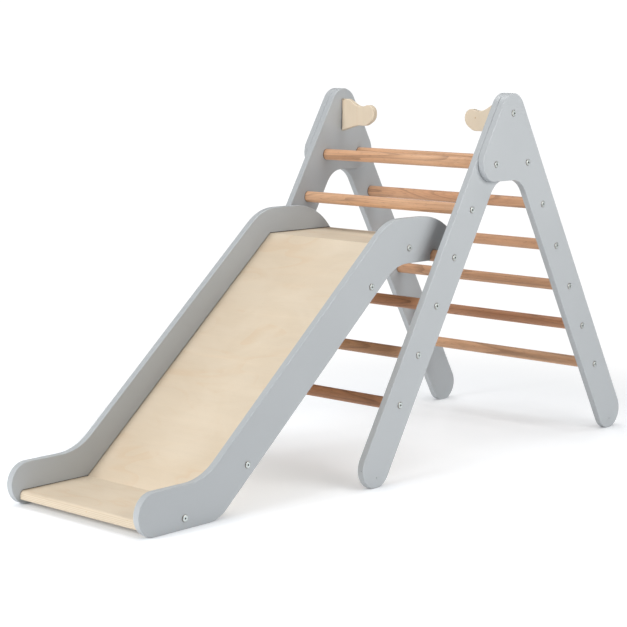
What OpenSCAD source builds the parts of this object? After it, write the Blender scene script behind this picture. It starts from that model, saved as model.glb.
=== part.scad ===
// Wooden climbing triangle with a hook-on slide.
// X runs along the slide (its foot towards -X), Y across it, Z up. Left is -Y.

/* [Climbing frame] */
// Overall width over the outer leg boards
frame_w = 512; // [470:1:600]
// Thickness of every plywood board except the exit board
board_t = 15; // [14:0.5:16]
// Width of a leg board, and the diameter of its rounded ends
leg_w = 86; // [80:1:92]
// Lean of each leg from the vertical, in degrees
leg_angle = 31; // [29:0.5:33]
// Height of the bolt at the apex
apex_z = 757; // [740:1:780]
// Height of the flat lower edge of each head
head_z = 611.5; // [605:0.5:618]
// Radius of the arch between a head and its leg
arch_r = 55; // [40:1:60]
// Length of the flat that each foot stands on
foot_flat = 19; // [12:1:30]

/* [Rungs] */
// Diameter of the round rungs
rung_d = 25; // [22:0.5:28]
// Distance from one rung to the next along a leg
rung_pitch = 114; // [110:0.5:115.5]
// Distance along a leg from the apex bolt to the top rung
top_rung_drop = 123.3; // [120:0.1:126]
// How far the top rung sits inside the leg's centre line
top_rung_inset = 5.4; // [0:0.2:8]
// Depth of the shallow socket that holds each rung end
socket_depth = 2; // [1:0.5:4]

/* [Slide] */
// Width over the two side panels
slide_w = 374; // [340:1:400]
// Slope of the ramp, in degrees
ramp_angle = 40.3; // [39.5:0.1:41]
// Distance from the apex down the slide to the tip of the nose
nose_reach = 1043.5; // [1035:0.5:1055]
// Radius of the rounded nose of a side panel
nose_r = 42.5; // [38:0.5:43]
// Distance from the apex to the crease where the ramp meets the exit
crease_reach = 846.6; // [840:0.2:850]
// Height of the exit board's top face
exit_z = 29; // [26:0.5:32]
// Thickness of the exit board, which ends in a rounded nosing
exit_t = 18; // [17:0.5:20]
// Height of the platform's top face
platform_z = 486; // [484.5:0.5:489]
// Height of a side panel's top edge beside the platform
shoulder_z = 542; // [536:1:546]
// How far a side panel stands above the ramp, square to it
rail_h = 58.7; // [50:0.1:64]
// How far a side panel hangs below the ramp's top face
skirt_h = 30.2; // [26:0.1:34]
// Clearance between the hook and the rung that it sits on
hook_gap = 0.4; // [0.3:0.05:1]

/* [Handles] */
// How far a handle reaches in from the leg board
handle_reach = 95.5; // [85:0.5:110]
// Height of the handle's root against the board
handle_root_h = 74; // [66:1:80]

/* [Hidden] */

$fn = 64;
arc_step = 5;              // degrees of turn per facet of a rounded corner
eps = 0.01;

grey_paint = "#c2c6c9";
birch = "#e3cfae";
beech = "#cf9a72";
zinc = "#c4c7c6";

// Hardware
bolt_d = 6;
bolt_head_d = 14;
bolt_head_h = 2.4;
bolt_hole_d = 6.4;
pivot_hole_d = 6.1;        // running fit for the bolts that the hook rung turns on
hex_size = 4;              // across flats
leg_bolt_l = 38;
head_bolt_l = 53;
handle_bolt_l = 50;
slide_bolt_l = 50;
insert_d = 10;
insert_l = 22;
insert_fit = 0.1;
socket_fit = 0.6;
barrel_d = 10;
barrel_l = 12;
barrel_inset = 28;         // from the end of a board to its barrel nut
dowel_d = 8;
dowel_l = 30;
dowel_in_panel = 8;
handle_dowel_l = 24;
handle_dowel_in_board = 8;
handle_dowel_drops = [22, 44];   // below the apex bolt
hole_extra = 1;            // how much deeper a blind hole is than what it holds
pin_hole_d = 2.6;          // small holes near each foot, for screwing on a glide or a hook
pin_hole_depth = 6;
pin_hole_drop = 20.5;      // below the middle of the foot
pin_hole_edge = 4;         // from the outer face, on a front leg's edge

// Climbing frame
sides = [-1, 1];
leg_r = leg_w / 2;
foot_z = sqrt(leg_r * leg_r - foot_flat * foot_flat / 4);
leg_len = (apex_z - foot_z) / cos(leg_angle);
foot_x = leg_len * sin(leg_angle);
leg_outer_y = frame_w / 2;
leg_mid_y = leg_outer_y - board_t;
leg_inner_y = leg_mid_y - board_t;
hook_rung = 2;             // counted from the top, starting at 0
lower_rungs = [1 : 5];

// Slide: heights follow from the ramp's slope
panel_outer_y = slide_w / 2;
panel_inner_y = panel_outer_y - board_t;
housing_depth = 3;         // the boards are let into the side panels
housing_gap = 1.6;         // slit left above the exit and the platform in their housings
ramp_gap = 1.9;            // slit left above the ramp, square to it
housing_play = 0.1;        // below every board
housing_end_gap = 0.2;     // between a board's end and the bottom of its housing
board_half_w = panel_inner_y + housing_depth - housing_end_gap;
slope = tan(ramp_angle);
bend_r = 120;              // panel top, at both ends of the ramp
tail_r = 150;
tail_angle = 56;
tail_tip_r = 18;
tail_reach = 142;
neck_z = 446;              // straight lower edge beside the hook
neck_r = 100;
heel_r = 75;
exit_reach = 1022.5;       // front edge of the exit board
exit_top_r = 8;            // nosing, above and below
exit_low_r = 4;
platform_reach = 105;      // back edge of the platform
exit_bolt_x = -926;
ramp_bolt_x = [-757, -389.5];
platform_bolt_x = -267;
exit_dowel_x = [-985, -880];
ramp_dowel_x = [-660, -500];
platform_dowel_x = [-222, -135];

mid_x = (foot_x + leg_r - nose_reach) / 2;

// ---- helpers ----

// Distance along the leg, and offset from its centre line, to a point [x, z].
// fore is -1 for the slide side and 1 for the rear.
function leg_point(along, out, fore) = [
  fore * (along * sin(leg_angle) + out * cos(leg_angle)),
  apex_z - along * cos(leg_angle) + out * sin(leg_angle)];

// Axis of rung i in the X-Z plane.
function rung_point(i, fore) =
  leg_point(top_rung_drop + i * rung_pitch, i == 0 ? -top_rung_inset : 0, fore);

// Height of the ramp's top face at x, moved up square to the ramp by lift.
function ramp_z(x, lift = 0) = exit_z + (x + crease_reach) * slope + lift / cos(ramp_angle);
// Where that line reaches height z.
function ramp_x(z, lift = 0) = (z - exit_z - lift / cos(ramp_angle)) / slope - crease_reach;

// Points of one rounded corner at v, between its neighbours p and n.
function corner(p, v, n, r) =
  let (a = (p - v) / norm(p - v), b = (n - v) / norm(n - v),
       open = acos(a * b),
       c = v + (a + b) / norm(a + b) * r / sin(open / 2),
       s = v + a * r / tan(open / 2) - c,
       turn = (a[0] * b[1] - a[1] * b[0] > 0 ? -1 : 1) * (180 - open),
       steps = ceil(abs(turn) / arc_step),
       start = atan2(s[1], s[0]))
  [for (k = [0 : steps]) c + r * [cos(start + turn * k / steps), sin(start + turn * k / steps)]];

// Outline through corners given as [x, z, radius].
function outline(c) = [for (i = [0 : len(c) - 1])
  let (m = len(c), v = [c[i][0], c[i][1]], r = c[i][2],
       p = c[(i + m - 1) % m], n = c[(i + 1) % m])
  each r == 0 ? [v] : corner([p[0], p[1]], v, [n[0], n[1]], r)];

// Put the origin on the floor under the middle of the whole object.
module centred() translate([-mid_x, 0, 0]) children();

// A board cut to an X-Z outline, with its faces at y0 and y0 + t.
module board(y0, t) translate([0, y0 + t, 0]) rotate([90, 0, 0]) linear_extrude(t) children();

// A cylinder along Y from y0 to y1 at the point p of the X-Z plane.
module rod(p, d, y0, y1)
  translate([p[0], max(y0, y1), p[1]]) rotate([90, 0, 0]) cylinder(d = d, h = abs(y1 - y0));

// A flat-headed hex bolt whose head sits on the face at y, pointing inwards.
module bolt(p, side, y, length) translate([p[0], side * y, p[1]]) rotate([-90 * side, 0, 0])
  difference() {
    union() {
      translate([0, 0, -length]) cylinder(d = bolt_d, h = length + eps);
      rotate_extrude() polygon([[0, 0], [bolt_head_d / 2, 0], [bolt_head_d / 2, bolt_head_h * 0.45],
        [bolt_head_d / 2 - 0.5, bolt_head_h * 0.75], [bolt_head_d / 2 - 1.5, bolt_head_h],
        [0, bolt_head_h]]);
    }
    translate([0, 0, -1]) cylinder(d = hex_size / cos(30), h = bolt_head_h + 2, $fn = 6);
  }

// ---- climbing frame ----

// A leg and its head are one board: a rounded triangle at the top, a straight leg below.
module leg_outline(fore) intersection() {
  sharp_apex_z = apex_z + leg_r / sin(leg_angle);
  outer_foot = leg_point(leg_len + leg_r, leg_r, 1);
  inner_foot = leg_point(leg_len + leg_r, -leg_r, 1);
  arch_x = (sharp_apex_z - head_z) * tan(leg_angle) - leg_w / cos(leg_angle);
  head_x = -(sharp_apex_z - head_z) * tan(leg_angle);
  scale([fore, 1]) polygon(outline([
    [0, sharp_apex_z, leg_r],
    [head_x, head_z, leg_r],
    [arch_x, head_z, arch_r],
    [inner_foot[0], inner_foot[1], leg_r - eps],
    [outer_foot[0], outer_foot[1], leg_r - eps]]));
  translate([-foot_x - leg_w, 0]) square([2 * (foot_x + leg_w), apex_z + leg_w]);
}

module leg(fore, side) {
  inner = fore < 0 ? leg_inner_y : leg_mid_y;
  outer = inner + board_t;
  y_lo = side < 0 ? -outer : inner;
  foot = [fore * foot_x, foot_z];
  difference() {
    board(y_lo, board_t) leg_outline(fore);
    rod([0, apex_z], bolt_hole_d, side * (inner - 1), side * (outer + 1));
    for (f = sides) rod(rung_point(0, f), bolt_hole_d, side * (inner - 1), side * (outer + 1));
    for (i = lower_rungs) rod(rung_point(i, fore),
      fore < 0 && i == hook_rung ? pivot_hole_d : bolt_hole_d, side * (inner - 1), side * (outer + 1));
    for (i = lower_rungs)
      rod(rung_point(i, fore), rung_d + socket_fit, side * (inner - 1), side * (inner + socket_depth));
    if (fore < 0) {
      for (f = sides)
        rod(rung_point(0, f), rung_d + socket_fit, side * (inner - 1), side * (inner + socket_depth));
      for (drop = handle_dowel_drops) rod([0, apex_z - drop], dowel_d + insert_fit, side * (inner - 1),
        side * (inner + handle_dowel_in_board + hole_extra));
    }
    rod(foot - [0, pin_hole_drop], pin_hole_d, side * (outer + 1), side * (outer - pin_hole_depth));
    if (fore < 0) translate([foot[0] - leg_r, side * (outer - pin_hole_edge), foot[1]])
      rotate([0, 90, 0]) cylinder(d = pin_hole_d, h = 2 * pin_hole_depth, center = true);
  }
}

module front_leg_left() color(grey_paint) centred() leg(-1, -1);
module front_leg_right() color(grey_paint) centred() leg(-1, 1);
module rear_leg_left() color(grey_paint) centred() leg(1, -1);
module rear_leg_right() color(grey_paint) centred() leg(1, 1);

// Half the length of a rung, with its ends down in their sockets.
// The hook rung keeps clear of its sockets, because it can turn in them.
function rung_half(i, fore) = (fore > 0 && i > 0 ? leg_mid_y : leg_inner_y) + socket_depth
  - (fore < 0 && i == hook_rung ? 0.3 : 0);

module rung(i, fore) difference() {
  half = rung_half(i, fore);
  p = rung_point(i, fore);
  rod(p, rung_d, -half, half);
  for (s = sides) {
    rod(p, insert_d + insert_fit, s * (half + 1), s * (half - insert_l));
    rod(p, bolt_d + insert_fit, s * half, s * (half - insert_l - 6));
  }
}

module front_rung_1() color(beech) centred() rung(0, -1);
module front_rung_2() color(beech) centred() rung(1, -1);
module front_rung_3() color(beech) centred() rung(2, -1);
module front_rung_4() color(beech) centred() rung(3, -1);
module front_rung_5() color(beech) centred() rung(4, -1);
module front_rung_6() color(beech) centred() rung(5, -1);
module rear_rung_1() color(beech) centred() rung(0, 1);
module rear_rung_2() color(beech) centred() rung(1, 1);
module rear_rung_3() color(beech) centred() rung(2, 1);
module rear_rung_4() color(beech) centred() rung(3, 1);
module rear_rung_5() color(beech) centred() rung(4, 1);
module rear_rung_6() color(beech) centred() rung(5, 1);

// A threaded insert pressed into a rung's end.
module insert(p, side, half) difference() {
  rod(p, insert_d, side * half, side * (half - insert_l));
  rod(p, bolt_d + insert_fit, side * (half + 1), side * (half - insert_l - 1));
}

module rung_inserts() color(zinc) centred() for (s = sides, f = sides, i = [0 : 5])
  if (f > 0 || i != hook_rung) insert(rung_point(i, f), s, rung_half(i, f));

module hook_rung_inserts() color(zinc) centred() for (s = sides)
  insert(rung_point(hook_rung, -1), s, rung_half(hook_rung, -1));

module leg_bolts() color(zinc) centred() for (s = sides, f = sides, i = lower_rungs)
  if (f > 0 || i != hook_rung)
    bolt(rung_point(i, f), s, f > 0 ? leg_outer_y : leg_mid_y, leg_bolt_l);

module hook_rung_bolts() color(zinc) centred() for (s = sides)
  bolt(rung_point(hook_rung, -1), s, leg_mid_y + 0.3, leg_bolt_l);

module head_bolts() color(zinc) centred() for (s = sides, f = sides)
  bolt(rung_point(0, f), s, leg_outer_y, head_bolt_l);

// ---- handles ----

handle_z = apex_z - 18;    // middle of a handle's root

// A handle is a thumb-shaped plate: a root against the leg board, a dip on top, then a round knob.
// Its corners are given as [distance in from the board, height, radius].
function handle_corners() = [
  [0, handle_z - handle_root_h / 2, 0.5],
  [0, handle_z + handle_root_h / 2, 0.5],
  [19, handle_z + handle_root_h / 2, 22],
  [54, handle_z + 16, 40],
  [handle_reach - 4, handle_z + 31, 18],
  [handle_reach + 3, handle_z - 7, 24],
  [handle_reach - 24, handle_z - 24, 24],
  [44, handle_z - 23.5, 60]];

module handle(side) difference() {
  translate([-board_t / 2, side * leg_inner_y, 0]) rotate([90, 0, 90])
    linear_extrude(board_t) scale([-side, 1]) polygon(outline(handle_corners()));
  rod([0, apex_z], insert_d + insert_fit, side * (leg_inner_y + 1), side * (leg_inner_y - insert_l));
  for (drop = handle_dowel_drops)
    rod([0, apex_z - drop], dowel_d + insert_fit, side * (leg_inner_y + 1),
      side * (leg_inner_y - handle_dowel_l + handle_dowel_in_board - hole_extra));
}

module handle_left() color(birch) centred() handle(-1);
module handle_right() color(birch) centred() handle(1);

module handle_bolts() color(zinc) centred() for (s = sides)
  bolt([0, apex_z], s, leg_outer_y, handle_bolt_l);

module handle_inserts() color(zinc) centred() for (s = sides)
  insert([0, apex_z], s, leg_inner_y);

module handle_dowels() color(beech) centred() for (s = sides, drop = handle_dowel_drops)
  rod([0, apex_z - drop], dowel_d, s * (leg_inner_y + handle_dowel_in_board),
    s * (leg_inner_y + handle_dowel_in_board - handle_dowel_l));

// ---- slide ----

// Points where each board's bolts and dowels go in, half of board_t below its top face.
function ramp_mid(x) = [x, ramp_z(x, -board_t / 2)];
function exit_mid(x) = [x, exit_z - board_t / 2];
function platform_mid(x) = [x, platform_z - board_t / 2];
exit_bolts = [exit_mid(exit_bolt_x)];
ramp_bolts = [for (x = ramp_bolt_x) ramp_mid(x)];
platform_bolts = [platform_mid(platform_bolt_x)];
exit_dowels = [for (x = exit_dowel_x) exit_mid(x)];
ramp_dowels = [for (x = ramp_dowel_x) ramp_mid(x)];
platform_dowels = [for (x = platform_dowel_x) platform_mid(x)];
all_bolts = concat(exit_bolts, ramp_bolts, platform_bolts);
all_dowels = concat(exit_dowels, ramp_dowels, platform_dowels);

// Side panel: rounded nose, S-bend up the ramp, shoulder, tail, and a hook open downwards.
module side_outline() difference() {
  tip_x = -tail_reach + (shoulder_z - neck_z) / tan(tail_angle);
  hook = rung_point(hook_rung, -1);
  hook_r = rung_d / 2 + hook_gap;
  polygon(outline([
    [-nose_reach, 0, nose_r - eps],
    [-nose_reach, 2 * nose_r, nose_r - eps],
    [ramp_x(2 * nose_r, rail_h), 2 * nose_r, bend_r],
    [ramp_x(shoulder_z, rail_h), shoulder_z, bend_r],
    [-tail_reach, shoulder_z, tail_r],
    [tip_x, neck_z, tail_tip_r],
    [ramp_x(neck_z, -skirt_h), neck_z, neck_r],
    [ramp_x(0, -skirt_h), 0, heel_r]]));
  translate(hook) circle(r = hook_r);
  translate([hook[0] - hook_r, neck_z - 1]) square([2 * hook_r, hook[1] - neck_z + 1]);
}

// Cutter for the grooves in one side panel that hold the ends of the boards.
module housing(side) {
  start = side < 0 ? -panel_inner_y - housing_depth : panel_inner_y - 1;
  for (lift = [-housing_play, housing_gap]) translate([0, 0, lift]) {
    board(start, housing_depth + 1) exit_profile();
    board(start, housing_depth + 1) platform_profile();
  }
  for (lift = [-housing_play, ramp_gap]) translate([0, 0, lift / cos(ramp_angle)])
    board(start, housing_depth + 1) ramp_profile();
}

module slide_side(side) difference() {
  board(side < 0 ? -panel_outer_y : panel_inner_y, board_t) side_outline();
  housing(side);
  for (p = all_bolts) rod(p, bolt_hole_d, side * (panel_inner_y - 1), side * (panel_outer_y + 1));
  for (p = all_dowels) rod(p, dowel_d + insert_fit, side * (panel_inner_y - 1),
    side * (panel_inner_y + dowel_in_panel + hole_extra));
}

module slide_side_left() color(grey_paint) centred() slide_side(-1);
module slide_side_right() color(grey_paint) centred() slide_side(1);

// Drill a board's ends for its bolts, barrel nuts and dowels. tilt is the board's slope,
// and below is how far its underside lies under its bolts.
module drilled(bolts, dowels, tilt, below) difference() {
  children();
  for (s = sides) {
    for (p = bolts) {
      rod(p, bolt_hole_d, s * (board_half_w + 1), s * (board_half_w - barrel_inset - 12));
      translate([p[0], s * (board_half_w - barrel_inset), p[1]]) rotate([0, -tilt, 0])
        translate([0, 0, -below - 1]) cylinder(d = barrel_d + 0.2, h = below + 1 + barrel_l / 2);
    }
    for (p = dowels) rod(p, dowel_d + insert_fit, s * (board_half_w + 1),
      s * (panel_inner_y + dowel_in_panel - dowel_l - hole_extra));
  }
}

// The boards meet on mitres, so their top faces run on without a step.
low_mitre = [ramp_x(exit_z - board_t, -board_t), exit_z - board_t];
high_mitre = [ramp_x(platform_z - board_t, -board_t), platform_z - board_t];
crease_x = ramp_x(exit_z);
brow_x = ramp_x(platform_z);

module exit_profile() polygon(outline([
  [-exit_reach, exit_z - exit_t, exit_low_r], [-exit_reach, exit_z, exit_top_r],
  [crease_x, exit_z, 0], [low_mitre[0], low_mitre[1], 0],
  [low_mitre[0], exit_z - exit_t, 0]]));

module ramp_profile() polygon([low_mitre, [crease_x, exit_z], [brow_x, platform_z], high_mitre]);

module platform_profile() polygon(outline([
  [high_mitre[0], high_mitre[1], 0], [brow_x, platform_z, 0],
  [-platform_reach, platform_z, 3], [-platform_reach, platform_z - board_t, 3]]));

module exit_board() color(birch) centred()
  drilled(exit_bolts, exit_dowels, 0, exit_t - board_t / 2)
  board(-board_half_w, 2 * board_half_w) exit_profile();

module ramp_board() color(birch) centred()
  drilled(ramp_bolts, ramp_dowels, ramp_angle, board_t / 2)
  board(-board_half_w, 2 * board_half_w) ramp_profile();

module platform_board() color(birch) centred()
  drilled(platform_bolts, platform_dowels, 0, board_t / 2)
  board(-board_half_w, 2 * board_half_w) platform_profile();

module slide_bolts() color(zinc) centred() for (s = sides, p = all_bolts)
  bolt(p, s, panel_outer_y, slide_bolt_l);

// A barrel nut lies square to its board, in the middle of the thickness.
module barrel_nut(p, side, tilt) difference() {
  translate([p[0], side * (board_half_w - barrel_inset), p[1]]) rotate([0, -tilt, 0])
    cylinder(d = barrel_d, h = barrel_l, center = true);
  rod(p, bolt_d + insert_fit, side * (board_half_w - barrel_inset + barrel_d),
    side * (board_half_w - barrel_inset - barrel_d));
}

module barrel_nuts() color(zinc) centred() for (s = sides) {
  for (p = concat(exit_bolts, platform_bolts)) barrel_nut(p, s, 0);
  for (p = ramp_bolts) barrel_nut(p, s, ramp_angle);
}

module board_dowels() color(beech) centred() for (s = sides, p = all_dowels)
  rod(p, dowel_d, s * (panel_inner_y + dowel_in_panel), s * (panel_inner_y + dowel_in_panel - dowel_l));

// ---- draw ----

front_leg_left();
front_leg_right();
rear_leg_left();
rear_leg_right();
front_rung_1();
front_rung_2();
front_rung_3();
front_rung_4();
front_rung_5();
front_rung_6();
rear_rung_1();
rear_rung_2();
rear_rung_3();
rear_rung_4();
rear_rung_5();
rear_rung_6();
handle_left();
handle_right();
leg_bolts();
head_bolts();
handle_bolts();
rung_inserts();
handle_inserts();
handle_dowels();
hook_rung_bolts();
hook_rung_inserts();
slide_side_left();
slide_side_right();
exit_board();
ramp_board();
platform_board();
slide_bolts();
barrel_nuts();
board_dowels();
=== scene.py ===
"""Looks of a wooden climbing triangle with a hook-on slide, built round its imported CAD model."""
import math

import bmesh
import bpy
from mathutils import Matrix, Vector


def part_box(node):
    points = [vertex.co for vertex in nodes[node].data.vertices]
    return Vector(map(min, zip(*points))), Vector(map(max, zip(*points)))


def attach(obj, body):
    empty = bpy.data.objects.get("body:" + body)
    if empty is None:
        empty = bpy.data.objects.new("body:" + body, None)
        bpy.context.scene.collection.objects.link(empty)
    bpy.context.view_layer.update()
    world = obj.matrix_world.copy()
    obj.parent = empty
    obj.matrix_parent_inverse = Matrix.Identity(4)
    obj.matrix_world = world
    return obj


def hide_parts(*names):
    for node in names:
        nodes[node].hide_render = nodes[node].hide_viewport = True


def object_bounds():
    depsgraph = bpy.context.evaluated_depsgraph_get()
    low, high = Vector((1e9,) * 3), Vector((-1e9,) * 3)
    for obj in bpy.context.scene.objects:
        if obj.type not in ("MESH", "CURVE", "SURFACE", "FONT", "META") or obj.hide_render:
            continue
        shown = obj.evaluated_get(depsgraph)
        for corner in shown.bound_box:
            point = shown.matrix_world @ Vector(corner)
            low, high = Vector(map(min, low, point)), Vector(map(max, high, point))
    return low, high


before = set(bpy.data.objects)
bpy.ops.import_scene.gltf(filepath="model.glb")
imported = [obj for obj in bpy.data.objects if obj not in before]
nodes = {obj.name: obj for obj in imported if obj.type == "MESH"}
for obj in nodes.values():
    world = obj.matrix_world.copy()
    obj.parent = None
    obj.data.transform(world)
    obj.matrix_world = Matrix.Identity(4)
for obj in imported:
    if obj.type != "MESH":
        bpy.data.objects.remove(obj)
cad_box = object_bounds()

MM = 0.001

# Camera, in the row frame
CAMERA_PLACE = (-2.932357, -2.516515, 0.887337)
CAMERA_AZIMUTH = math.radians(-48.670021)
CAMERA_ELEVATION = math.radians(8.333598)
CAMERA_ROLL = math.radians(0.621349)
CAMERA_LENS = 103.234

# Rounding of the boards' edges
PAINTED_ROUND = 1.6 * MM
HANDLE_ROUND = 2.2 * MM
BIRCH_ROUND = 0.6 * MM
ROUND_SEGMENTS = 5
MERGE = 1e-6
FLAT = math.radians(0.5)
SAME_PLANE = 0.1 * MM
CREASE = math.radians(32)
STRONG = 16384               # a broad face alone decides the shading of its rim
FACE_STRENGTH = "__mod_weightednormals_faceweight"

# Plywood: turns that bring a board's grain to X, its width to Y and its layers to Z
RAMP_SLOPE = math.radians(40.3)
ACROSS = math.pi / 2
FLAT_TURN = (0, 0, ACROSS)
RAMP_TURN = (0, RAMP_SLOPE, ACROSS)
HANDLE_TURN = (0, math.pi / 2, 0)
LAYER = 3.3 * MM
PAINTED_LAYER = 2.5 * MM
HOUSING_DEPTH = 3 * MM
SOCKET_DEPTH = 2 * MM
END_RING = 1.6 * MM         # painted shade where a rung enters its socket
PANEL_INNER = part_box("slide_side_right")[0].y

# Painted shade: the slide's boards get darker and warmer towards the right panel, by these
# factors, in place of the shade and warm bounce light near that panel
PANEL_SHADE_FROM, PANEL_SHADE_TO = -40 * MM, 190 * MM
FLAT_PANEL_SHADE = (0.89, 0.885, 0.88)
RAMP_PANEL_SHADE = (0.84, 0.83, 0.82)
NO_PANEL_SHADE = (1.0, 1.0, 1.0)

# Pin knots that show: across, height and size on the nosing, then the one on the left knob
NOSE_BULGE = 1 * MM
NOSE_KNOTS = ((-0.021, 22 * MM, 2.2 * MM), (-0.043, 14 * MM, 1.4 * MM),
              (-0.133, 26 * MM, 1.6 * MM))
KNOB_KNOT = (-0.160, 0.744)
KNOB_KNOT_SIZE = 2.4 * MM

# Colours, linear. A pair holds the two ends of a slow change across the surface
PAINT = ((0.403, 0.425, 0.441), (0.431, 0.453, 0.469))
BIRCH = ((0.675, 0.567, 0.430), (0.705, 0.605, 0.472))
BIRCH_FIGURE = (0.66, 0.48, 0.31)
LONG_LAYER = ((0.600, 0.515, 0.395), (0.665, 0.585, 0.468))
CROSS_LAYER = ((0.530, 0.425, 0.300), (0.600, 0.497, 0.370))
KNOT_HALO = (0.55, 0.36, 0.16)
KNOT_HEART = (0.26, 0.14, 0.06)
# Painted shade: raw wood in the grooves, coloured far darker than it is, standing for the shade in
# the narrow slit
GROOVE_SHADE = ((0.030, 0.018, 0.011), (0.060, 0.038, 0.024))
BEECH = ((0.560, 0.305, 0.170), (0.618, 0.356, 0.208))
SOCKET_SHADE = (0.10, 0.045, 0.022)
ZINC = ((0.57, 0.63, 0.62), (0.73, 0.78, 0.77))
# Painted shade on the bolt heads' rims and in their sockets
ZINC_RIM_SHADE = (0.36, 0.34, 0.31)
FLOOR = ((0.645, 0.665, 0.69), (0.665, 0.685, 0.71))
SKY = (0.985, 0.99, 1.0)

# Tones of the rungs' wood, as red, green and blue factors: partly the wood's own variation, partly
# painted light and shade, paler on rungs that the lamps reach well and darker on rungs in shade
# such as those under the slide
TONES = {"pale": (1.02, 1.07, 1.11), "plain": (0.87, 0.86, 0.86), "dark": (0.80, 0.70, 0.66)}
LIT_PALE_RUNGS = ("front_rung_1", "front_rung_2", "rear_rung_1", "rear_rung_6")
SHADED_DARK_RUNGS = ("front_rung_4", "front_rung_6", "rear_rung_5")


# ---- node trees ----

def put(tree, kind, inputs=None, **settings):
    """Adds a shader node. An input is a number, a colour or another node's output."""
    made = tree.nodes.new("ShaderNode" + kind)
    for name, value in settings.items():
        setattr(made, name, value)
    for key, value in (inputs or {}).items():
        if isinstance(value, bpy.types.NodeSocket):
            tree.links.new(value, made.inputs[key])
        else:
            made.inputs[key].default_value = value
    return made


def new_material(name, roughness, specular=0.5, metallic=0.0):
    material = bpy.data.materials.new(name)
    material.use_nodes = True
    tree = material.node_tree
    surface = tree.nodes["Principled BSDF"]
    surface.inputs["Roughness"].default_value = roughness
    surface.inputs["Specular IOR Level"].default_value = specular
    surface.inputs["Metallic"].default_value = metallic
    return material, tree, surface


def maths(tree, operation, a, b=0.0, c=0.0):
    return put(tree, "Math", {0: a, 1: b, 2: c}, operation=operation).outputs[0]


def stretched(tree, place, scale, turn=(0.0, 0.0, 0.0)):
    """Coordinates turned, then scaled, so that a pattern runs along a board."""
    turned = put(tree, "Mapping", {"Vector": place, "Rotation": turn}).outputs[0]
    return put(tree, "Mapping", {"Vector": turned, "Scale": scale}).outputs[0]


def noise(tree, place, detail=2.0, rough=0.5, distortion=0.0, scale=1.0):
    inputs = {"Vector": place, "Scale": scale, "Detail": detail, "Roughness": rough,
              "Distortion": distortion}
    return put(tree, "TexNoise", inputs).outputs["Fac"]


def span(tree, value, low, high, to_low, to_high, smooth=True):
    """Maps value from low..high to to_low..to_high, held at the ends."""
    kind = "SMOOTHSTEP" if smooth else "LINEAR"
    inputs = {"Value": value, "From Min": low, "From Max": high, "To Min": to_low,
              "To Max": to_high}
    return put(tree, "MapRange", inputs, interpolation_type=kind).outputs["Result"]


def mix(tree, factor, a, b, blend="MIX"):
    inputs = {0: factor, 6: a, 7: b}
    return put(tree, "Mix", inputs, data_type="RGBA", blend_type=blend).outputs[2]


def opaque(colour):
    return (*colour, 1.0)


def between(tree, factor, pair):
    """A colour between the two of a pair."""
    return mix(tree, factor, opaque(pair[0]), opaque(pair[1]))


def grey(value):
    return (value, value, value, 1.0)


def tint(tree, colour, factor, darkest, lightest):
    """Multiplies colour by a grey that goes from darkest to lightest with factor."""
    shade = mix(tree, factor, grey(darkest), grey(lightest))
    return mix(tree, 1.0, colour, shade, "MULTIPLY")


def bump(tree, surface, height, distance, strength):
    made = put(tree, "Bump", {"Height": height, "Distance": distance, "Strength": strength})
    tree.links.new(made.outputs[0], surface.inputs["Normal"])


# ---- materials ----

def paint_material():
    """Satin grey paint on plywood: orange peel, faint grain and ply lines that show through."""
    material, tree, surface = new_material("satin_grey_paint", 0.45, 0.45)
    here = put(tree, "TexCoord").outputs
    place = here["Object"]
    broad = noise(tree, place, 3, 0.55, 0.3, scale=5)
    peel = noise(tree, place, 2, 0.6, scale=620)
    speck = noise(tree, place, 1, 0.5, scale=1500)
    axes = put(tree, "SeparateXYZ", {0: place}).outputs
    facing = put(tree, "SeparateXYZ", {0: here["Normal"]}).outputs[1]
    on_edge = span(tree, maths(tree, "ABSOLUTE", facing), 0.3, 0.75, 1.0, 0.0)
    layers = maths(tree, "SINE", maths(tree, "MULTIPLY", axes[1], 2 * math.pi / PAINTED_LAYER))
    plies = maths(tree, "MULTIPLY", layers, on_edge)
    colour = between(tree, broad, PAINT)
    colour = tint(tree, colour, speck, 0.965, 1.035)
    colour = tint(tree, colour, span(tree, plies, -1, 1, 0, 1), 0.985, 1.01)
    tree.links.new(colour, surface.inputs["Base Color"])
    rough = span(tree, broad, 0.3, 0.7, 0.40, 0.50)
    tree.links.new(rough, surface.inputs["Roughness"])
    relief = maths(tree, "MULTIPLY_ADD", plies, 0.25, peel)
    bump(tree, surface, relief, 0.10 * MM, 0.55)
    return material


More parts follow.
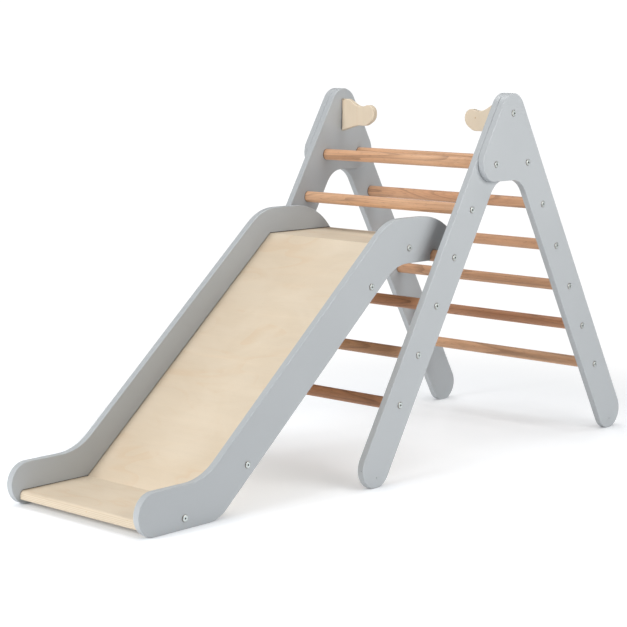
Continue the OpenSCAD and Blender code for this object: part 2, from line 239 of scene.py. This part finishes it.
def birch_material(name, turn, panel_shade, knots=()):
    """Birch plywood: rotary-cut figure, warm contour lines, pale streaks and pin knots."""
    material, tree, surface = new_material(name, 0.48, 0.4)
    here = put(tree, "TexCoord").outputs
    place = here["Object"]
    wander = noise(tree, stretched(tree, place, (3.2, 6.5, 6.5), turn), 2, 0.5, 0.7)
    rings = maths(tree, "FRACT", maths(tree, "MULTIPLY", wander, 8.0))
    contour = span(tree, rings, 0.70, 0.97, 0.0, 1.0)
    patch = noise(tree, stretched(tree, place, (6, 11, 11), turn), 3, 0.6, 0.8)
    streak = noise(tree, stretched(tree, place, (2.0, 40, 40), turn), 3, 0.6, 0.3)
    fibre = noise(tree, stretched(tree, place, (16, 620, 620), turn), 2, 0.6)
    pores = noise(tree, stretched(tree, place, (70, 1000, 1000), turn), 1, 0.5)
    colour = between(tree, span(tree, patch, 0.3, 0.7, 0, 1), BIRCH)
    warmth = maths(tree, "MULTIPLY", contour, span(tree, patch, 0.38, 0.6, 1.0, 0.15))
    colour = mix(tree, maths(tree, "MULTIPLY", warmth, 0.30), colour, opaque(BIRCH_FIGURE))
    colour = tint(tree, colour, span(tree, streak, 0.3, 0.7, 0, 1), 0.986, 1.014)
    colour = tint(tree, colour, span(tree, streak, 0.66, 0.74, 0, 1), 1.0, 1.03)
    colour = tint(tree, colour, fibre, 0.970, 1.030)
    colour = tint(tree, colour, span(tree, pores, 0.66, 0.76, 0, 1), 1.0, 0.93)
    # Painted shade: darker and warmer towards the right panel
    across = put(tree, "SeparateXYZ", {0: place}).outputs[1]
    panel_shade_mix = span(tree, across, PANEL_SHADE_FROM, PANEL_SHADE_TO, 0.0, 1.0)
    colour = mix(tree, 1.0, colour, between(tree, panel_shade_mix, (NO_PANEL_SHADE, panel_shade)), "MULTIPLY")
    flat_normal = put(tree, "Mapping", {"Vector": here["Normal"], "Rotation": turn},
                      vector_type="NORMAL").outputs[0]
    facing = put(tree, "SeparateXYZ", {0: flat_normal}).outputs
    on_edge = span(tree, maths(tree, "ABSOLUTE", facing[2]), 0.45, 0.8, 1.0, 0.0)
    colour, plies = plywood_edge(tree, colour, place, turn, on_edge)
    for centre, size in knots:
        colour = pin_knot(tree, colour, place, centre, size)
    tree.links.new(colour, surface.inputs["Base Color"])
    rough = span(tree, fibre, 0.3, 0.7, 0.44, 0.56)
    tree.links.new(rough, surface.inputs["Roughness"])
    layered = maths(tree, "MULTIPLY_ADD", plies, 0.6, fibre)
    relief = maths(tree, "MULTIPLY_ADD", pores, -0.5, layered)
    bump(tree, surface, relief, 0.09 * MM, 0.5)
    return material


def pin_knot(tree, colour, place, centre, size):
    """A dark heart in a warm, ragged halo round the point centre."""
    away = put(tree, "VectorMath", {0: place, 1: centre}, operation="DISTANCE").outputs["Value"]
    ragged = noise(tree, place, 2, 0.6, scale=420)
    radius = maths(tree, "MULTIPLY_ADD", ragged, size * 0.8, away)
    halo = span(tree, radius, size * 0.6, size * 1.7, 0.6, 0.0)
    heart = span(tree, radius, size * 0.4, size * 0.9, 0.8, 0.0)
    colour = mix(tree, halo, colour, opaque(KNOT_HALO))
    return mix(tree, heart, colour, opaque(KNOT_HEART))


def plywood_edge(tree, colour, place, turn, on_edge):
    """Shows the layers of the plywood where the surface faces out of a board's edge."""
    depth = put(tree, "SeparateXYZ", {0: stretched(tree, place, (1, 1, 1), turn)}).outputs[2]
    wave = maths(tree, "SINE", maths(tree, "MULTIPLY", depth, 2 * math.pi / LAYER))
    grain = noise(tree, stretched(tree, place, (14, 900, 900), turn), 2, 0.6)
    end_grain = noise(tree, stretched(tree, place, (500, 500, 500), turn), 2, 0.6)
    layer = span(tree, wave, -0.5, 0.5, 0.0, 1.0)
    long_layer = between(tree, grain, LONG_LAYER)
    cross_layer = between(tree, end_grain, CROSS_LAYER)
    edge = mix(tree, layer, cross_layer, long_layer)
    return mix(tree, on_edge, colour, edge), maths(tree, "MULTIPLY", wave, on_edge)


def shaded_groove_material():
    """Raw wood inside the side panels' grooves, coloured far darker than raw wood: painted shade
    in the narrow slit.
    """
    material, tree, surface = new_material("raw_groove_painted_shade", 0.85, 0.2)
    place = put(tree, "TexCoord").outputs["Object"]
    fibre = noise(tree, stretched(tree, place, (90, 400, 400)), 2, 0.6)
    colour = between(tree, fibre, GROOVE_SHADE)
    tree.links.new(colour, surface.inputs["Base Color"])
    bump(tree, surface, fibre, 0.10 * MM, 0.5)
    return material


def beech_material(name, half_length, tone):
    """Oiled hardwood rods: wandering ring lines, fibres and short flecks, with painted shade at
    the ends where they enter their sockets.
    """
    material, tree, surface = new_material(name, 0.5, 0.4)
    toned = [[c * t for c, t in zip(colour, tone)] for colour in BEECH]
    place = put(tree, "TexCoord").outputs["Object"]
    wander = noise(tree, stretched(tree, place, (15, 1.1, 15)), 2, 0.4, 0.4)
    rings = maths(tree, "FRACT", maths(tree, "MULTIPLY", wander, 12.0))
    line = span(tree, rings, 0.74, 0.95, 0.0, 1.0)
    late = maths(tree, "FRACT", maths(tree, "MULTIPLY", wander, 36.0))
    broad = noise(tree, stretched(tree, place, (9, 4, 9)), 2, 0.5)
    streak = noise(tree, stretched(tree, place, (260, 3.5, 260)), 3, 0.6)
    fibre = noise(tree, stretched(tree, place, (900, 16, 900)), 2, 0.6)
    flecks = noise(tree, stretched(tree, place, (620, 75, 620)), 1, 0.5)
    colour = between(tree, span(tree, broad, 0.3, 0.7, 0, 1), toned)
    colour = tint(tree, colour, line, 1.02, 0.80)
    colour = tint(tree, colour, span(tree, late, 0.4, 0.95, 0.0, 1.0), 1.02, 0.94)
    colour = tint(tree, colour, span(tree, streak, 0.3, 0.7, 0, 1), 0.91, 1.08)
    colour = tint(tree, colour, fibre, 0.93, 1.07)
    colour = tint(tree, colour, span(tree, flecks, 0.62, 0.74, 0, 1), 1.0, 0.76)
    along = maths(tree, "ABSOLUTE", put(tree, "SeparateXYZ", {0: place}).outputs[1])
    mouth = half_length - SOCKET_DEPTH
    # Painted shade where the rung enters its socket
    socket_shade_mask = span(tree, along, mouth - END_RING, mouth - END_RING / 2, 0.0, 0.85)
    colour = mix(tree, socket_shade_mask, colour, opaque(SOCKET_SHADE))
    tree.links.new(colour, surface.inputs["Base Color"])
    tree.links.new(span(tree, fibre, 0.3, 0.7, 0.44, 0.56), surface.inputs["Roughness"])
    lined = maths(tree, "MULTIPLY_ADD", line, -0.3, fibre)
    relief = maths(tree, "MULTIPLY_ADD", flecks, -0.8, lined)
    bump(tree, surface, relief, 0.12 * MM, 0.5)
    return material


def zinc_material():
    """Bright zinc plating with fine scratches, with painted shade on the head's rim and in its
    socket.
    """
    material, tree, surface = new_material("bright_zinc", 0.45, 0.5, 1.0)
    here = put(tree, "TexCoord").outputs
    place = here["Object"]
    facing = put(tree, "SeparateXYZ", {0: here["Normal"]}).outputs[1]
    # Painted shade: faces turned away from the head's face, at its rim and in its socket, go dark
    rim = span(tree, maths(tree, "ABSOLUTE", facing), 0.80, 0.95, 1.0, 0.0)
    mottle = noise(tree, place, 3, 0.6, scale=240)
    scratch = noise(tree, stretched(tree, place, (300, 2400, 1800)), 2, 0.6)
    colour = between(tree, mottle, ZINC)
    colour = mix(tree, rim, colour, opaque(ZINC_RIM_SHADE))
    tree.links.new(colour, surface.inputs["Base Color"])
    tree.links.new(span(tree, mottle, 0.3, 0.7, 0.38, 0.54), surface.inputs["Roughness"])
    bump(tree, surface, scratch, 0.04 * MM, 0.5)
    return material


# ---- boards ----

def grouped(edges):
    """Splits edges into groups that share vertices."""
    left, groups = set(edges), []
    for first in edges:
        if first not in left:
            continue
        left.discard(first)
        queue, group = [first], []
        while queue:
            edge = queue.pop()
            group.append(edge)
            near = [e for v in edge.verts for e in v.link_edges if e in left]
            left.difference_update(near)
            queue.extend(near)
        groups.append(group)
    return groups


def reach(edges):
    """The summed extents of some edges, by which a board's rim is the largest group."""
    points = [v.co for e in edges for v in e.verts]
    return sum(max(p[i] for p in points) - min(p[i] for p in points) for i in range(3))


def walk(edges, out):
    """The vertices of a closed chain of edges, in order, anticlockwise seen from out."""
    left, last = set(edges), edges[0]
    chain, vert = [last.verts[0]], last.verts[1]
    while vert is not chain[0]:
        chain.append(vert)
        last = next(e for e in vert.link_edges if e in left and e is not last)
        vert = last.other_vert(vert)
    turn = sum(a.co.cross(b.co).dot(out) for a, b in zip(chain, chain[1:] + chain[:1]))
    return chain if turn > 0 else chain[::-1]


def inwards(before, here, after, out):
    """How far a corner moves when its two edges move inwards by one unit."""
    a = out.cross((here - before).normalized())
    b = out.cross((after - here).normalized())
    return (a + b) / (1 + a.dot(b))


def round_rim(bm, out, radius, strength):
    """Rebuilds the broad face that looks along out, with its outer rim rounded over."""
    top = max(v.co.dot(out) for v in bm.verts)
    caps = {f for f in bm.faces if f.normal.dot(out) > math.cos(4 * FLAT)
            and f.calc_center_median().dot(out) > top - SAME_PLANE}
    border = [e for e in bm.edges if sum(f in caps for f in e.link_faces) == 1]
    bmesh.ops.delete(bm, geom=list(caps), context="FACES")
    groups = grouped(border)
    rim = max(groups, key=reach)
    ring = walk(rim, out)
    count = len(ring)
    base = [v.co.copy() for v in ring]
    moves = [inwards(base[i - 1], base[i], base[(i + 1) % count], out) for i in range(count)]
    for i, vert in enumerate(ring):
        vert.co = base[i] - out * radius
    for k in range(1, ROUND_SEGMENTS + 1):
        angle = math.pi / 2 * k / ROUND_SEGMENTS
        shift, drop = radius * (1 - math.cos(angle)), radius * (1 - math.sin(angle))
        made = [bm.verts.new(p + m * shift - out * drop) for p, m in zip(base, moves)]
        for i in range(count):
            j = (i + 1) % count
            bm.faces.new((ring[i], ring[j], made[j], made[i]))
        ring = made
    edges = [bm.edges.get((ring[i - 1], ring[i])) for i in range(count)]
    edges += [e for g in groups if g is not rim for e in g]
    filled = bmesh.ops.triangle_fill(bm, use_beauty=True, edges=edges, normal=out)["geom"]
    for face in filled:
        if isinstance(face, bmesh.types.BMFace):
            face[strength] = STRONG


def in_housing(face):
    """Whether a side panel's face lies in the groove that holds the boards' ends."""
    depth = abs(face.calc_center_median().y) - PANEL_INNER
    return SAME_PLANE < depth < HOUSING_DEPTH + SAME_PLANE


def board_piece(node, body, material, radius, axis=(0, 1, 0), inner=None):
    """Stands for a CAD board, with its outer edges rounded over and its holes as they are."""
    bm = bmesh.new()
    bm.from_mesh(nodes[node].data)
    bmesh.ops.remove_doubles(bm, verts=bm.verts, dist=MERGE)
    bmesh.ops.dissolve_limit(bm, angle_limit=FLAT, verts=bm.verts, edges=bm.edges)
    if inner:
        for face in bm.faces:
            face.material_index = 1 if in_housing(face) else 0
    strength = bm.faces.layers.int.new(FACE_STRENGTH)
    for out in (Vector(axis), -Vector(axis)):
        round_rim(bm, out, radius, strength)
    bmesh.ops.recalc_face_normals(bm, faces=bm.faces)
    mesh = bpy.data.meshes.new(node + "_shape")
    bm.to_mesh(mesh)
    bm.free()
    for stale in [a.name for a in mesh.attributes if a.name == "custom_normal"]:
        mesh.attributes.remove(mesh.attributes[stale])
    mesh.shade_smooth()
    mesh.set_sharp_from_angle(angle=CREASE)
    for finish in [material, inner] if inner else [material]:
        mesh.materials.append(finish)
    piece = bpy.data.objects.new(node + "_finished", mesh)
    bpy.context.scene.collection.objects.link(piece)
    weights = piece.modifiers.new("flat_faces", "WEIGHTED_NORMAL")
    weights.keep_sharp = True
    weights.use_face_influence = True
    weights.weight = 100
    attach(piece, body)
    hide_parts(node)
    return piece


def repaint(node, material):
    for holder in nodes[node].material_slots:
        holder.material = material


def dress():
    """Gives every board, rung and bolt its shape and finish."""
    paint, zinc = paint_material(), zinc_material()
    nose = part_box("exit_board")[0].x + NOSE_BULGE
    on_nose = [((nose, y, z), size) for y, z, size in NOSE_KNOTS]
    knob = Vector((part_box("handle_left")[0].x, *KNOB_KNOT))
    flat_birch = birch_material("birch_ply_flat", FLAT_TURN, FLAT_PANEL_SHADE, on_nose)
    ramp_birch = birch_material("birch_ply_ramp", RAMP_TURN, RAMP_PANEL_SHADE)
    handle_birch = birch_material("birch_ply_handle", HANDLE_TURN, NO_PANEL_SHADE,
                                  [(knob, KNOB_KNOT_SIZE)])
    groove = shaded_groove_material()
    for side in ("left", "right"):
        for end in ("front", "rear"):
            board_piece(f"{end}_leg_{side}", "frame", paint, PAINTED_ROUND)
        board_piece(f"slide_side_{side}", "slide_unit", paint, PAINTED_ROUND,
                    inner=groove)
        board_piece(f"handle_{side}", "frame", handle_birch, HANDLE_ROUND,
                    axis=(1, 0, 0))
    for node, birch in (("exit_board", flat_birch), ("ramp_board", ramp_birch),
                        ("platform_board", flat_birch)):
        board_piece(node, "slide_unit", birch, BIRCH_ROUND)
    finishes = {}
    for node in nodes:
        if node.endswith(("bolts", "inserts", "nuts")):
            repaint(node, zinc)
        elif "_rung_" in node or node.endswith("dowels"):
            # Partly painted light and shade: paler tones for well-lit rungs, darker for rungs in
            # shade
            tone = "pale" if node in LIT_PALE_RUNGS else "dark" if node in SHADED_DARK_RUNGS else "plain"
            half = round(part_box(node)[1].y / MM)
            name = f"oiled_beech_{tone}_{half}"
            finish = finishes.get(name) or beech_material(name, half * MM, TONES[tone])
            finishes[name] = finish
            repaint(node, finish)


# ---- studio ----

# Softboxes: place, aim, size, power and colour
SOFTBOXES = {
    "key_softbox": ((0.28, -1.80, 1.00), (0.0, 0.0, 0.40), (1.7, 1.0), 28.7, (1.0, 0.998, 0.990)),
    "left_softbox": ((-2.9, 0.25, 1.35), (-0.2, 0.0, 0.3), (1.4, 1.4), 76.0, (1.0, 1.0, 0.998)),
    "top_softbox": ((0.5, 0.05, 2.4), (0.2, 0.0, 0.3), (2.2, 1.4), 34.0, (1.0, 1.0, 1.0)),
    "back_softbox": ((0.3, 3.0, 0.65), (0.1, 0.0, 0.4), (2.2, 1.1), 36.0, (1.0, 1.0, 1.0)),
}

# Strengths of the sky and the floor, to the camera and to what they light
WHITE = 1.04                 # the sky and the far floor, to the camera
SKY_LIGHT = 0.01             # the sky, to all else
FLOOR_BOUNCE = 0.67          # the far floor, to all else
FLOOR_GLOW = 0.42            # the near floor's own light, to the camera
FLOOR_LIFT = 0.38            # and to all else
FLOOR_SIZE = 12.0
CONTACT_REACH = 0.05         # a piece nearer than this darkens the near floor's own light
CONTACT_DARKEST = 0.25       # to this factor at the least
FADE_NEAR = 0.12             # the near floor turns into the far one between these distances
FADE_FAR = 0.90


def make_floor():
    """A pale, slightly glossy floor that turns into the white backdrop away from the object."""
    bm = bmesh.new()
    bmesh.ops.create_grid(bm, x_segments=24, y_segments=24, size=FLOOR_SIZE)
    mesh = bpy.data.meshes.new("floor_shape")
    bm.to_mesh(mesh)
    bm.free()
    floor = bpy.data.objects.new("floor", mesh)
    bpy.context.scene.collection.objects.link(floor)
    mesh.materials.append(floor_material())


def floor_material():
    material, tree, surface = new_material("pale_floor", 0.40, 0.06)
    place = put(tree, "TexCoord").outputs["Object"]
    axes = put(tree, "SeparateXYZ", {0: place}).outputs
    low, high = cad_box
    outside = []
    for i in range(2):
        middle, half = (low[i] + high[i]) / 2, (high[i] - low[i]) / 2
        off = maths(tree, "ABSOLUTE", maths(tree, "SUBTRACT", axes[i], middle))
        outside.append(maths(tree, "MAXIMUM", maths(tree, "SUBTRACT", off, half), 0.0))
    squares = [maths(tree, "MULTIPLY", v, v) for v in outside]
    away = maths(tree, "SQRT", maths(tree, "ADD", squares[0], squares[1]))
    fade = span(tree, away, FADE_NEAR, FADE_FAR, 0.0, 1.0)
    cloud = noise(tree, place, 3, 0.5, scale=3)
    colour = between(tree, cloud, FLOOR)
    tree.links.new(colour, surface.inputs["Base Color"])
    seen = put(tree, "LightPath").outputs["Is Camera Ray"]
    surface.inputs["Emission Color"].default_value = grey(1.0)
    near_glow = span(tree, seen, 0, 1, FLOOR_LIFT, FLOOR_GLOW, smooth=False)
    open_sky = put(tree, "AmbientOcclusion", {"Distance": CONTACT_REACH}, samples=8).outputs["AO"]
    contact = span(tree, open_sky, 0, 1, CONTACT_DARKEST, 1, smooth=False)
    near_glow = maths(tree, "MULTIPLY", near_glow, contact)
    tree.links.new(near_glow, surface.inputs["Emission Strength"])
    white = span(tree, seen, 0, 1, FLOOR_BOUNCE, WHITE, smooth=False)
    glow = put(tree, "Emission", {"Color": grey(1.0), "Strength": white})
    both = put(tree, "MixShader", {0: fade, 1: surface.outputs[0], 2: glow.outputs[0]})
    tree.links.new(both.outputs[0], tree.nodes["Material Output"].inputs["Surface"])
    return material


def area_light(name, place, aim, size, power, colour):
    data = bpy.data.lights.new(name, "AREA")
    data.shape = "RECTANGLE"
    data.size, data.size_y = size
    data.energy = power
    data.color = colour
    light = bpy.data.objects.new(name, data)
    bpy.context.scene.collection.objects.link(light)
    light.location = place
    light.rotation_euler = (Vector(aim) - Vector(place)).to_track_quat("-Z", "Y").to_euler()


def light_studio():
    for name, settings in SOFTBOXES.items():
        area_light(name, *settings)
    world = bpy.data.worlds.new("white_studio")
    bpy.context.scene.world = world
    world.use_nodes = True
    tree = world.node_tree
    tree.nodes.clear()
    seen = put(tree, "LightPath").outputs["Is Camera Ray"]
    strength = span(tree, seen, 0, 1, SKY_LIGHT, WHITE, smooth=False)
    sky = put(tree, "Background", {"Color": opaque(SKY), "Strength": strength})
    out = put(tree, "OutputWorld")
    tree.links.new(sky.outputs[0], out.inputs["Surface"])


def make_camera():
    a, e, r = CAMERA_AZIMUTH, CAMERA_ELEVATION, CAMERA_ROLL
    back = Vector((math.sin(a) * math.cos(e), -math.cos(a) * math.cos(e), math.sin(e)))
    right = (-back).cross(Vector((0, 0, 1))).normalized()
    up = right.cross(-back)
    right, up = (math.cos(r) * right + math.sin(r) * up, -math.sin(r) * right + math.cos(r) * up)
    data = bpy.data.cameras.new("camera")
    data.sensor_width = 36.0
    data.lens = CAMERA_LENS
    data.clip_end = 50.0
    camera = bpy.data.objects.new("camera", data)
    bpy.context.scene.collection.objects.link(camera)
    turn = Matrix((right, up, back)).transposed().to_4x4()
    camera.matrix_world = Matrix.Translation(CAMERA_PLACE) @ turn
    bpy.context.scene.camera = camera


dress()
make_floor()
light_studio()
make_camera()
bpy.context.scene.view_settings.view_transform = "Standard"
